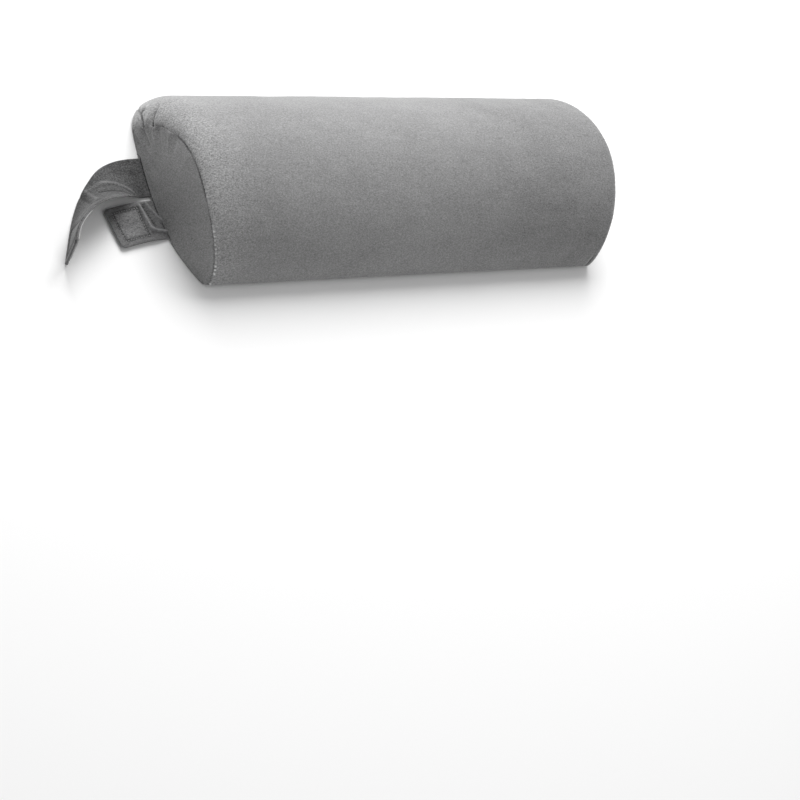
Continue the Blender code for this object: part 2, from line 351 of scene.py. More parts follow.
def section(arch_steps, back_steps):
    """y, z and place round the section: over the arch, closer at its corners, then along the back."""
    step = np.linspace(0.0, 1.0, ARCH_SAMPLES)
    close = step - CLOSER_AT_CORNERS * np.sin(2 * np.pi * step) / (2 * np.pi)
    y, z = arch_point(close)
    along = np.concatenate([[0.0], np.cumsum(np.hypot(np.diff(y), np.diff(z)))])
    wanted = np.linspace(0.0, 1.0, arch_steps + 1)
    wanted -= CORNER_GATHER * np.sin(2 * np.pi * wanted) / (2 * np.pi)
    place = np.interp(wanted * along[-1], along, close)
    y, z = arch_point(place)
    back = np.linspace(HIGH_REACH - BACK_ROUND, BACK_ROUND - LOW_REACH, back_steps + 1)[1:-1]
    return (
        np.concatenate([y, back]),
        np.concatenate([z, np.zeros_like(back)]),
        np.concatenate([place, np.full_like(back, -1.0)]),
    )


def smooth_step(share):
    share = np.clip(share, 0.0, 1.0)
    return share * share * (3.0 - 2.0 * share)


def bell(distance, half_width):
    """1 at no distance, falling away softly on both sides."""
    return np.exp(-((distance / half_width) ** 2))


def seam_x(end, y, z):
    across = 2 * y / DEPTH
    on_back = 1.0 - np.clip(z / (2 * BACK_ROUND), 0.0, 1.0)
    inward = end["low_draw"] * np.maximum(0.0, -across) ** 3
    inward = inward + end["high_draw"] * np.maximum(0.0, across) ** 3
    outward = BACK_BOW * on_back * (1.0 - across * across)
    return end["side"] * (LENGTH / 2 - inward + outward)


def tuck(end, y, from_seam):
    near = 1.0 - np.clip(from_seam / end["round_over"], 0.0, 1.0)
    high = 0.5 + y / DEPTH
    most = end["low_tuck"] * (1.0 - high) + end["high_tuck"] * high
    return most * (1.0 - np.sqrt(1.0 - near * near))


def pleat_depth(side, place, from_seam, narrower=1.0):
    """How far the gathered folds sink a point, or with narrower below 1, the sharp creases in them."""
    depth = np.zeros_like(from_seam)
    for pleat in PLEATS:
        if pleat["side"] == side:
            along = 1.0 - smooth_step(from_seam / pleat["reach"])
            middle = pleat["place"] + pleat["slant"] * from_seam
            half_width = pleat["half_width"]
            if narrower < 1.0:
                wander = from_seam / CREASE_WOBBLE_LENGTH + CREASE_WOBBLE_TURN * pleat["place"]
                middle = middle + CREASE_WOBBLE * np.sin(wander)
                half_width = half_width * narrower * (CREASE_TAPER + along)
            across = 1.0 - smooth_step(np.abs(place - middle) / half_width)
            depth = depth + pleat["depth"] * along * across * (place >= 0.0)
    return depth


def body_ring(share, y, z, place):
    left, right = (seam_x(end, y, z) for end in ENDS)
    x = left + (right - left) * share
    scale = np.ones_like(y)
    sink = np.zeros_like(y)
    for end in ENDS:
        from_seam = np.abs(x - seam_x(end, y, z))
        scale = scale - tuck(end, y, from_seam)
        sink = sink + pleat_depth(end["side"], place, from_seam)
    scale = scale * np.where(z > 0.0, 1.0 - sink / np.maximum(np.hypot(y, z), LEAST), 1.0)
    return np.stack([x, y * scale, z * scale], axis=1)


def panel_ring(side, share, seam):
    """A ring of an end panel, at a share of the way from the middle of its low dome to its seam."""
    middle = seam.mean(axis=0)
    middle[0] = side * (LENGTH / 2 + PANEL_DOME)
    ring = middle + (seam - middle) * share
    ring[:, 0] = middle[0] + (seam[:, 0] - middle[0]) * share * share
    return ring


def cover_rings(rows, outline):
    """Rings of the cover. Rows 0 to 1 go from seam to seam, and -1 to 0 and 1 to 2 are the end panels."""
    seams = {-1: body_ring(0.0, *outline), 1: body_ring(1.0, *outline)}
    rings = []
    for row in rows:
        if row < 0.0:
            rings.append(panel_ring(-1, 1.0 + row, seams[-1]))
        elif row > 1.0:
            rings.append(panel_ring(1, 2.0 - row, seams[1]))
        else:
            rings.append(body_ring(row, *outline))
    return np.array(rings)


def closed_faces(rows, columns):
    """Quads between the rings, and a fan to a pole at each end, whose vertices come last."""
    faces = []
    for row in range(rows - 1):
        for column in range(columns):
            following = (column + 1) % columns
            here, above = row * columns, (row + 1) * columns
            faces.append((here + column, here + following, above + following, above + column))
    low, high, last = rows * columns, rows * columns + 1, (rows - 1) * columns
    for column in range(columns):
        following = (column + 1) % columns
        faces.append((low, following, column))
        faces.append((high, last + column, last + following))
    return faces


def with_poles(rings):
    return np.concatenate([rings.reshape(-1, 3), [rings[0].mean(axis=0)], [rings[-1].mean(axis=0)]])


def new_object(name, data):
    made = bpy.data.objects.new(name, data)
    bpy.context.scene.collection.objects.link(made)
    return made


def mesh_object(name, points, faces):
    """A smooth mesh object whose closed surface faces out."""
    data = bpy.data.meshes.new(name)
    data.from_pydata([tuple(point) for point in points], [], faces)
    data.update()
    shell = bmesh.new()
    shell.from_mesh(data)
    bmesh.ops.recalc_face_normals(shell, faces=shell.faces)
    shell.to_mesh(data)
    shell.free()
    data.shade_smooth()
    return new_object(name, data)


def coordinates(data):
    flat = np.empty(len(data.vertices) * 3, dtype=np.float32)
    data.vertices.foreach_get("co", flat)
    return flat.reshape(-1, 3).astype(float)


def set_coordinates(data, points):
    data.vertices.foreach_set("co", np.asarray(points, dtype=np.float32).ravel())
    data.update()


def weigh(made, name, weights):
    group = made.vertex_groups.new(name=name)
    for index, weight in enumerate(weights):
        group.add([index], float(weight), "REPLACE")


def relaxed(rings, hold, ease):
    """How far each point of the cover moves as its cloth settles over the foam, with cloth simulation."""
    points = with_poles(rings)
    made = mesh_object("relaxing_cover", points, closed_faces(*rings.shape[:2]))
    weigh(made, "hold", hold)
    weigh(made, "ease", ease)
    cloth = made.modifiers.new("relax", "CLOTH")
    settings = cloth.settings
    settings.quality = 6
    settings.mass = 0.3
    settings.tension_stiffness = 30.0
    settings.compression_stiffness = 30.0
    settings.shear_stiffness = 10.0
    settings.bending_stiffness = 0.8
    settings.use_pressure = True
    settings.uniform_pressure_force = COVER_PRESSURE
    settings.vertex_group_mass = "hold"
    settings.pin_stiffness = 1.0
    settings.vertex_group_shrink = "ease"
    settings.shrink_min = 0.0
    settings.shrink_max = SPARE_CLOTH
    settings.effector_weights.gravity = 0.0
    cloth.collision_settings.use_collision = False
    cloth.point_cache.frame_start = 1
    cloth.point_cache.frame_end = RELAX_FRAMES
    scene = bpy.context.scene
    for frame_number in range(1, RELAX_FRAMES + 1):
        scene.frame_set(frame_number)
    settled = made.evaluated_get(bpy.context.evaluated_depsgraph_get())
    moves = coordinates(settled.data) - points
    scene.frame_set(1)
    bpy.data.objects.remove(made, do_unlink=True)
    length = np.linalg.norm(moves, axis=1, keepdims=True)
    moves *= np.minimum(1.0, MOST_MOVE / np.maximum(length, LEAST))
    count = rings.shape[0] * rings.shape[1]
    return moves[:count].reshape(rings.shape)


def between(values, at, closed):
    """Values at fractional places along the first axis, on a cubic B-spline."""
    base = np.floor(at).astype(int)
    part = (at - base)[:, None, None]
    weights = (
        (1 - part) ** 3 / 6,
        (3 * part**3 - 6 * part**2 + 4) / 6,
        (-3 * part**3 + 3 * part**2 + 3 * part + 1) / 6,
        part**3 / 6,
    )
    total = 0.0
    for offset, weight in zip((-1, 0, 1, 2), weights):
        index = base + offset
        index = index % len(values) if closed else np.clip(index, 0, len(values) - 1)
        total = total + values[index] * weight
    return total


def sim_rows():
    left = [share - 1.0 for share in SIM_PANEL]
    right = [2.0 - share for share in reversed(SIM_PANEL)]
    return np.array(left + list(np.linspace(0.0, 1.0, SIM_BODY + 1)) + right)


def fine_rows():
    near = [step / LENGTH for step in SEAM_STEPS]
    count = round((LENGTH - 2 * SEAM_STEPS[-1]) / BODY_STEP)
    middle = np.linspace(near[-1], 1.0 - near[-1], count + 1)[1:-1]
    body = [0.0, *near, *middle, *[1.0 - share for share in reversed(near)], 1.0]
    beside = [step / PANEL_RADIUS for step in PANEL_SEAM_STEPS]
    inner_step = PANEL_STEP / PANEL_RADIUS
    panel = [*beside, *np.arange(beside[-1] + inner_step, PANEL_INNERMOST, inner_step)]
    return np.array([-share for share in reversed(panel)] + body + [1.0 + share for share in panel])


def unevenness(points, change):
    """A smooth random value between about -1 and 1 for each point, by a change's scale and seed."""
    shift = Vector([change["seed"] * part for part in SEED_SHIFT])
    return np.array([noise.noise(Vector(point) * change["scale"] + shift) for point in points])


def seam_distances(rows, rings):
    """For each point, how far it is from the nearest end seam, over the cover."""
    first = int(np.flatnonzero(rows == 0.0)[0])
    last = int(np.flatnonzero(rows == 1.0)[0])
    left = np.linalg.norm(rings - rings[first], axis=2)
    right = np.linalg.norm(rings - rings[last], axis=2)
    return np.minimum(left, right), first


def strap_room(points, strap, rows):
    """How high the back is lifted over a strap that lies under it."""
    distances = np.linspace(0.0, sum(steps_between(rows)), LANE_SAMPLES)
    centres, across, _ = strap.frames(distances)
    headings = np.stack([across[:, 1], -across[:, 0]], axis=1)
    low = points[:, 2] < 2 * LANE_DEEP
    flat = points[low, :2]
    nearest = np.argmin(np.linalg.norm(flat[:, None] - centres[None, :, :2], axis=2), axis=1)
    offset = flat - centres[nearest, :2]
    aside = np.abs((offset * across[nearest, :2]).sum(axis=1)) - STRAP_WIDTH / 2 - LANE_SIDE_ROOM
    beyond = (offset * headings[nearest]).sum(axis=1) * np.where(nearest == 0, -1.0, 0.0) - LANE_SIDE_ROOM
    out = np.maximum(aside, beyond)
    lift = np.zeros(len(points))
    lift[low] = LANE_DEEP * (1.0 - smooth_step(out / LANE_EDGE))
    return lift


def make_cover(straps):
    outline = section(SIM_ARCH, SIM_BACK)
    rows = sim_rows()
    fine_outline = section(SIM_ARCH * FINER, SIM_BACK * FINER)
    finer_rows = fine_rows()
    rings = cover_rings(finer_rows, fine_outline)
    sim_rings = cover_rings(rows, outline)
    moves = relaxed(sim_rings, *held_and_eased(rows, outline, sim_rings))
    moves = between(moves, np.interp(finer_rows, rows, np.arange(len(rows))), closed=False)
    at = np.arange(rings.shape[1]) / FINER
    rings = rings + between(moves.swapaxes(0, 1), at, closed=True).swapaxes(0, 1)
    points = with_poles(rings)
    points[:, 2] = np.maximum(points[:, 2], 0.0)
    made = mesh_object("velvet_cover", points, closed_faces(*rings.shape[:2]))
    add_seam_relief(made, finer_rows, rings, fine_outline)
    points = coordinates(made.data)
    for strap, under in straps:
        points[:, 2] = np.maximum(points[:, 2], strap_room(points, strap, under))
    set_coordinates(made.data, points)
    return made


def held_and_eased(rows, outline, rings):
    """The weights that hold the cover to the foam, and those that give it cloth to spare."""
    place = np.broadcast_to(outline[2], rings.shape[:2])
    on_back = (place < 0.0) | (rings[:, :, 2] < HELD_HEIGHT)
    seam = np.isclose(rows, 0.0) | np.isclose(rows, 1.0)
    panel = (rows < 0.0) | (rows > 1.0)
    hold = np.where(panel[:, None], HOLD_PANEL, HOLD_BODY) * np.ones(rings.shape[:2])
    hold[seam] = 1.0
    hold[on_back] = 1.0
    from_left = np.abs(rings[:, :, 0] + LENGTH / 2)
    gathers = 1.0 - smooth_step(from_left / GATHERS["reach"])
    gathers = gathers * smooth_step((place - GATHERS["from_place"]) / GATHERS["run"])
    ease = np.maximum(EASE_BODY, EASE_GATHERS * gathers)
    ease[panel] = EASE_BODY
    return with_two(hold, HOLD_PANEL), with_two(ease, EASE_BODY)


def with_two(weights, value):
    return np.concatenate([weights.ravel(), [value, value]])


def fold_height(folds, side, place, from_seam):
    """The height of soft folds or puffs that run out of an end seam."""
    height = np.zeros_like(from_seam)
    for fold in folds:
        if fold["side"] == side:
            along = (1.0 - smooth_step(from_seam / fold["reach"])) * smooth_step(from_seam / FOLD_START)
            across = bell(place - fold["place"], fold["half_width"])
            height = height + fold["height"] * along * across * (place >= 0.0)
    return height


def crease_height(side, place, from_seam):
    """The height of creases that run along an end seam near its corner."""
    height = np.zeros_like(from_seam)
    for crease in CORNER_CREASES:
        if crease["side"] == side:
            along = 1.0 - smooth_step(np.abs(place - crease["place"]) / crease["run"])
            across = bell(from_seam - crease["away"], crease["half_width"])
            height = height + crease["height"] * along * across * (place >= 0.0)
    return height


def point_values(made, name, values):
    """Stores a value for each point of a cover or strap, 0 at its two poles, for its material to read."""
    stored = made.data.attributes.new(name, "FLOAT", "POINT")
    stored.data.foreach_set("value", np.concatenate([values.ravel(), [0.0, 0.0]]).astype(np.float32))


def painted_right_and_front_tone(x, place):
    """Painted shade towards the cover's right end, and painted light on the middle of its front."""
    right = smooth_step((x - PAINTED_SHADE_RIGHT["from_x"]) / PAINTED_SHADE_RIGHT["run"])
    middle = 1.0 - smooth_step(np.abs(x - PAINTED_LIGHT_FRONT["x"]) / PAINTED_LIGHT_FRONT["half_length"])
    front = bell(place - PAINTED_LIGHT_FRONT["place"], PAINTED_LIGHT_FRONT["half_width"]) * middle
    return (PAINTED_SHADE_RIGHT["tone"] * right + PAINTED_LIGHT_FRONT["tone"] * front) * (place >= 0.0)


def painted_panel_shade(y, z):
    """Painted shade on the left end panel, darker towards its upper edge, most of all at the corner by the
    back.
    """
    tone = PANEL_SHADE["tone"] * smooth_step((y - PANEL_SHADE["from_y"]) / PANEL_SHADE["run"])
    corner = PANEL_CORNER_SHADE
    upper = smooth_step((y - corner["from_y"]) / corner["run"])
    return tone + corner["tone"] * upper * (1.0 - smooth_step((z - corner["from_z"]) / corner["run"]))


def seam_line(seam):
    """Along an end seam: how its thread puckers it, how deep it is drawn in, and where stitches glint."""
    along = np.concatenate([[0.0], np.cumsum(np.linalg.norm(np.diff(seam, axis=0), axis=1))])
    line = np.stack([along, 0 * along, 0 * along], axis=1)
    swing = SEAM_SWING["strength"] * unevenness(line, SEAM_SWING)
    most = PUCKER_CHANGE["most"]
    strong = PUCKER_CHANGE["usual"] + np.clip(unevenness(line, PUCKER_CHANGE), -most, most)
    pucker = np.cos(2 * np.pi * along / PUCKER_PITCH + swing) * strong
    drawn, glints = (
        smooth_step(change["usual"] + change["strength"] * unevenness(line, change))
        for change in (DRAWN_CHANGE, GLINT_CHANGE)
    )
    return pucker[None, :], 1.0 - SEAM_PATCHINESS * drawn[None, :], glints[None, :]


def add_seam_relief(made, rows, rings, outline):
    """The relief of the seams and gathers, the foam's slight unevenness, and the pile's painted shade and
    highlight.
    """
    away, first = seam_distances(rows, rings)
    pucker, drawn, glints = seam_line(rings[first])
    place = np.broadcast_to(outline[2], away.shape)
    on_body = ((rows >= 0.0) & (rows <= 1.0))[:, None]
    height = -GROOVE_DEPTH * drawn * bell(away, GROOVE_HALF_WIDTH)
    beside = np.exp(-away / PUCKER_REACH) * smooth_step(away / PUCKER_START)
    height += PUCKER_HEIGHT * pucker * beside * np.where(on_body, 1.0, PANEL_PUCKERS)
    crease = np.zeros_like(away)
    corner = np.zeros_like(away)
    for end in ENDS:
        side = end["side"]
        from_seam = np.abs(rings[:, :, 0] - seam_x(end, *outline[:2])[None, :])
        crease += pleat_depth(side, place, from_seam, narrower=CREASE_NARROW) * on_body
        here = rings[:, :, 0] * side > 0.0
        height += ~on_body * here * fold_height(PANEL_FOLDS, side, place, away)
        height += on_body * here * fold_height(PUFFS, side, place, away)
        corner += on_body * here * crease_height(side, place, from_seam)
    height += corner - CREASE_SHARE * crease
    height = np.where(rings[:, :, 2] < FLAT_HEIGHT, 0.0, height)
    height = np.concatenate([height.ravel(), [0.0, 0.0]])
    points = coordinates(made.data)
    foam = sum(change["height"] * unevenness(points, change) for change in FOAM_CHANGES)
    height += smooth_step(points[:, 2] / FOAM_FULL_HEIGHT) * foam
    normals = np.empty(len(points) * 3, dtype=np.float32)
    made.data.vertex_normals.foreach_get("vector", normals)
    points += normals.reshape(-1, 3) * height[:, None]
    points[:, 2] = np.maximum(points[:, 2], 0.0)
    set_coordinates(made.data, points)
    # Painted shade in the seam's groove and in creases, and painted highlight on crease ridges
    painted_tone = SEAM_SHADE["tone"] * drawn * bell(away, SEAM_SHADE["half_width"])
    painted_tone += CREASE_SHADE * crease + CORNER_CREASE_SHADE * corner
    # Painted highlight where the seam's stitches glint
    bright = np.clip(pucker, 0.0, 1.0) * glints * bell(away - GLINT["away"], GLINT["half_width"]) * on_body
    low = 1.0 - smooth_step((place - GLINT["from_place"]) / GLINT["run"])
    painted_tone -= GLINT["tone"] * bright * (GLINT["usual"] + (1.0 - GLINT["usual"]) * low)
    # Painted shade on the left end panel and towards the right end, and painted light on the front
    on_left_panel = (rows < 0.0)[:, None] * smooth_step(away / FOLD_START)
    painted_tone += painted_panel_shade(rings[:, :, 1], rings[:, :, 2]) * on_left_panel
    painted_tone += painted_right_and_front_tone(rings[:, :, 0], place) * on_body
    point_values(made, "painted_shade_map", painted_tone)
    left = bell(rings[:, :, 0] + LENGTH / 2, CRUSHED_END) * on_body
    point_values(made, "crushed", left * (place >= 0.0))


def steps_between(rows):
    return [math.dist((a["x"], a["y"]), (b["x"], b["y"])) for a, b in zip(rows, rows[1:])]


def follow(rows, distances):
    """x, y and roll at distances along a smooth curve that never swings past one of its rows."""
    values = np.array([[row["x"], row["y"], row["roll"]] for row in rows])
    steps = np.array(steps_between(rows))
    knots = np.concatenate([[0.0], np.cumsum(steps)])
    rises = np.diff(values, axis=0) / steps[:, None]
    before, after = rises[:-1], rises[1:]
    same_way = before * after > 0
    inner = np.where(same_way, 2 * before * after / np.where(same_way, before + after, 1.0), 0.0)
    slopes = np.concatenate([rises[:1], inner, rises[-1:]])
    at = np.asarray(distances)
    index = np.clip(np.searchsorted(knots, at, side="right") - 1, 0, len(rows) - 2)
    span = steps[index][:, None]
    part = (at - knots[index])[:, None] / span
    return (
        values[index] * (1 + 2 * part) * (1 - part) ** 2
        + slopes[index] * span * part * (1 - part) ** 2
        + values[index + 1] * (3 - 2 * part) * part**2
        + slopes[index + 1] * span * (part - 1) * part**2
    )


def line_distance(along, across, first, last):
    """How far points are from a line between two (along, across) places on a strap."""
    start, way = np.array(first), np.array(last) - np.array(first)
    offset = np.stack([along - start[0], across - start[1]], axis=-1)
    share = np.clip((offset @ way) / (way @ way), 0.0, 1.0)
    return np.linalg.norm(offset - share[..., None] * way, axis=-1)


class Strap:
    """A band of velvet sewn double: its line on the floor, its thickness, creases and box stitches."""

    def __init__(self, rows, creases, shade, rise=None):
        self.rows = rows
        # How much painted shade the upper face of its free part has
        self.shade = shade
        self.rise = rise
        self.length = sum(steps_between(rows))
        self.creases = creases
        sewn = self.box(BOX_INSET + BOX_SIDE * SEWN_BOX_SHARE, SEWN_BOX_SHARE)
        self.boxes = (self.box(self.length - BOX_INSET), sewn)

    def box(self, outer, share=1.0):
        """The four lines of a box stitch whose outer side is at a distance along the strap."""
        inner, side = outer - BOX_SIDE * share, BOX_SIDE / 2
        corners = [(outer, side), (outer, -side), (inner, -side), (inner, side)]
        return list(zip(corners, corners[1:] + corners[:1]))

    def frames(self, distances):
        """Centre, across and up at each distance, with the lowest edge on the floor or at the rise."""
        distances = np.asarray(distances)
        here = follow(self.rows, distances)
        heading = follow(self.rows, distances + HEADING_STEP) - follow(self.rows, distances - HEADING_STEP)
        heading = heading[:, :2] / np.linalg.norm(heading[:, :2], axis=1, keepdims=True)
        angle = np.radians(here[:, 2])
        flat = np.cos(angle)
        across = np.stack([-heading[:, 1] * flat, heading[:, 0] * flat, np.sin(angle)], axis=1)
        heading = np.concatenate([heading, np.zeros((len(heading), 1))], axis=1)
        up = np.cross(heading, across)
        side, half = STRAP_WIDTH / 2, STRAP_THICK / 2
        corners = [(side - STRAP_CHAMFER, half), (side, half - STRAP_CHAMFER)]
        heights = [abs(across[:, 2] * a) + abs(up[:, 2] * b) for a, b in corners]
        lifted = self.rise(here[:, 0]) if self.rise else 0.0
        centre = np.stack([here[:, 0], here[:, 1], lifted + np.maximum(*heights)], axis=1)
        return centre, across, up

    def half_width(self, along):
        """Half the strap's width, less where its free corners are rounded."""
        short = np.clip(STRAP_CORNER - (self.length - along), 0.0, STRAP_CORNER)
        return STRAP_WIDTH / 2 - STRAP_CORNER + np.sqrt(STRAP_CORNER**2 - short**2)

    def half_thick(self, along, across):
        """Half the strap's thickness: round at its edges and hem, and drawn in along the stitches."""
        round_in = STRAP_THICK / 2
        aside = np.clip((self.half_width(along) - np.abs(across)) / round_in, 0.0, 1.0)
        hem = np.clip(np.minimum(along, self.length - along) / round_in, 0.0, 1.0)
        edge = np.sqrt(1.0 - (1.0 - aside) ** 2) * np.sqrt(1.0 - (1.0 - hem) ** 2 * HEM_BLUNT)
        dip = STITCH_DIP * bell(self.stitch_distance(along, across), STITCH_DIP_HALF_WIDTH)
        puff = STRAP_ROLLED_EDGE * bell(STRAP_WIDTH / 2 - np.abs(across), ROLLED_EDGE_WIDTH)
        return STRAP_THICK / 2 * edge * (1.0 - STRAP_ROLLED_EDGE + puff - dip)

    def stitch_distance(self, along, across):
        """How far points are from the nearest line of a box stitch."""
        lines = self.boxes[0] + self.boxes[1]
        return np.minimum.reduce([line_distance(along, across, first, last) for first, last in lines])

    def in_boxes(self, along, across):
        """1 well inside a box stitch, and 0 outside."""
        inside = np.zeros_like(along)
        for box in self.boxes:
            (high, side), (low, _) = box[0][0], box[2][0]
            depth = np.minimum.reduce([high - along, along - low, side - np.abs(across)])
            inside = np.maximum(inside, smooth_step(depth / BOX_SOFTNESS))
        return inside

    def crease_distances(self, along, across):
        """Each crease, with how far points are from its line."""
        for crease in self.creases:
            first, last = ((self.length - a, b) for a, b in (crease["from"], crease["to"]))
            yield crease, line_distance(along, across, first, last)

    def bend(self, along, across):
        """How far creases push the strap's middle up or down."""
        height = np.zeros_like(along)
        for crease, away in self.crease_distances(along, across):
            height = height + crease["height"] * bell(away, crease["half_width"])
        return height

    def painted_pile_shade(self, along, across, face):
        """Painted shade in stitches, hollows and on the free part; painted highlight on ridges and edges."""
        # Painted shade on the upper face of the free part
        shaded_part = smooth_step((along - self.length + PAINTED_SHADE_LENGTH) / PAINTED_SHADE_RUN) * (1.0 + face) / 2
        painted_tone = self.shade * shaded_part
        painted_tone = painted_tone + STITCH_PAINTED_SHADE * bell(self.stitch_distance(along, across), STITCH_PAINTED_SHADE_HALF_WIDTH)
        for crease, away in self.crease_distances(along, across):
            tone = CREASE_PAINTED_SHADING * crease["height"]
            painted_tone = painted_tone - tone * bell(away, CREASE_PAINTED_SHADING_SHARE * crease["half_width"])
        edge = np.minimum(self.half_width(along) - np.abs(across), self.length - along)
        return painted_tone - EDGE_PAINTED_HIGHLIGHT * bell(edge, EDGE_PAINTED_HIGHLIGHT_WIDTH)

    def points(self, along, across, face, above=0.0):
        """Points on the strap, face 1 above and -1 below, or proud of it by a distance."""
        centre, sideways, up = self.frames(along)
        out = face * (self.half_thick(along, across) + above) + self.bend(along, across)
        return centre + sideways * across[:, None] + up * out[:, None]


def short_rise(x):
    share = (SHORT_RISE["from_x"] - x) / (SHORT_RISE["from_x"] - SHORT_RISE["to_x"])
    return (TAPE_THICK + GAP) * smooth_step(share)


def make_strap(name, strap, step):
    """The strap's mesh: rings of points over it and under it, closer at its edges and its ends."""
    inner = np.linspace(STRAP_EDGE_STEPS[-1], STRAP_WIDTH / 2, STRAP_MIDDLE_STEPS)[1:]
    half = np.array([*STRAP_EDGE_STEPS, *inner]) / (STRAP_WIDTH / 2)
    shares = np.concatenate([1.0 - half, -(1.0 - half[-2::-1])])
    over = np.concatenate([shares, shares[-2:0:-1]])
    face = np.concatenate([[0.0], np.ones(len(shares) - 2), [0.0], -np.ones(len(shares) - 2)])
    *close, last = STRAP_END_STEPS
    middle = np.linspace(last, strap.length - last, round(strap.length / step))
    stations = np.concatenate([close, middle, [strap.length - d for d in reversed(close)]])
    rings, painted_tone, crushed = [], [], []
    for station in stations:
        along = np.full(len(over), station)
        across = over * strap.half_width(along)
        rings.append(strap.points(along, across, face))
        painted_tone.append(strap.painted_pile_shade(along, across, face))
        crushed.append(STRAP_CRUSHED + (1.0 - STRAP_CRUSHED) * strap.in_boxes(along, across))
    rings = np.array(rings)
    points = with_poles(rings)
    uneven = STRAP_CHANGE["height"] * unevenness(points, STRAP_CHANGE)
    points[:, 2] = np.maximum(points[:, 2] + uneven, 0.0)
    made = mesh_object(name, points, closed_faces(*rings.shape[:2]))
    point_values(made, "painted_shade_map", np.array(painted_tone))
    point_values(made, "crushed", np.array(crushed))
    return made


def stitch_lines(strap):
    """Rows of points along the box stitches, just proud of the velvet on both faces."""
    rows = []
    for box in strap.boxes:
        for first, last in box:
            count = max(2, round(math.dist(first, last) / STITCH_LINE_STEP))
            along = np.linspace(first[0], last[0], count)
            across = np.linspace(first[1], last[1], count)
            for face in (1.0, -1.0):
                faces = np.full(count, face)
                rows.append(strap.points(along, across, faces, above=STITCH_THICK * STITCH_PROUD))
    return rows


def edges_object(name, rows):
    points, edges = [], []
    for row in rows:
        edges += [(len(points) + index, len(points) + index + 1) for index in range(len(row) - 1)]
        points += [tuple(point) for point in row]
    data = bpy.data.meshes.new(name)
    data.from_pydata(points, edges, [])
    return new_object(name, data)


def add_node(tree, kind, inputs=None, **settings):
    """Adds a node. Each of its inputs is a value, or the output of an earlier node."""
    made = tree.nodes.new(kind)
    for name, value in settings.items():
        setattr(made, name, value)
    for name, value in (inputs or {}).items():
        if isinstance(value, bpy.types.NodeSocket):
            tree.links.new(value, made.inputs[name])
        else:
            made.inputs[name].default_value = value
    return made


def new_group(name, kind, inputs, outputs):
    """A node group with named inputs, each with its usual value, and named outputs."""
    group = bpy.data.node_groups.new(name, kind)
    for way, rows in (("INPUT", inputs), ("OUTPUT", outputs)):
        for socket, sort, *usual in rows:
            made = group.interface.new_socket(name=socket, in_out=way, socket_type="NodeSocket" + sort)
            if usual:
                made.default_value = usual[0]
    return group, group.nodes.new("NodeGroupInput").outputs, group.nodes.new("NodeGroupOutput").inputs


def lay_and_finish(tree, result, points, piece, rotation, scale, finish):
    """Ends a tree: a piece on every point, made real, with its material."""
    placing = {"Points": points, "Instance": piece, "Rotation": rotation, "Scale": scale}
    laid = add_node(tree, "GeometryNodeInstanceOnPoints", placing)
    whole = add_node(tree, "GeometryNodeRealizeInstances", {"Geometry": laid.outputs["Instances"]})
    ended = add_node(
        tree, "GeometryNodeSetMaterial", {"Geometry": whole.outputs["Geometry"], "Material": finish}
    )
    tree.links.new(ended.outputs["Geometry"], result["Geometry"])


def stitch_tree():
    """Lays short thread stitches end to end along every line of a mesh."""
    inputs = (
        ("Geometry", "Geometry"),
        ("Pitch", "Float", STITCH_PITCH),
        ("Stitch Length", "Float", STITCH_LENGTH),
        ("Thickness", "Float", STITCH_THICK),
        ("Thread", "Material"),
    )
    outputs = (("Geometry", "Geometry"),)
    tree, given, result = new_group("thread_stitches", "GeometryNodeTree", inputs, outputs)
    line = add_node(tree, "GeometryNodeMeshToCurve", {"Mesh": given["Geometry"]})
    spots = add_node(
        tree,
        "GeometryNodeCurveToPoints",
        {"Curve": line.outputs["Curve"], "Length": given["Pitch"]},
        mode="LENGTH",
    )
    bead = add_node(tree, "GeometryNodeMeshUVSphere", {"Segments": 6, "Rings": 5, "Radius": 0.5})
    thick = given["Thickness"]
    size = add_node(tree, "ShaderNodeCombineXYZ", {"X": thick, "Y": thick, "Z": given["Stitch Length"]})
    lay_and_finish(
        tree,
        result,
        spots.outputs["Points"],
        bead.outputs["Mesh"],
        spots.outputs["Rotation"],
        size.outputs["Vector"],
        given["Thread"],
    )
    return tree


def grown(made, tree, values):
    """Gives an object its tree with named values, and turns the result into a plain mesh."""
    growth = made.modifiers.new(tree.name, "NODES")
    growth.node_group = tree
    for socket in tree.interface.items_tree:
        if socket.in_out == "INPUT" and socket.name in values:
            growth[socket.identifier] = values[socket.name]
    bpy.context.view_layer.update()
    evaluated = made.evaluated_get(bpy.context.evaluated_depsgraph_get())
    data = bpy.data.meshes.new_from_object(evaluated)
    made.modifiers.clear()
    made.data = data
    data.shade_smooth()
    return made


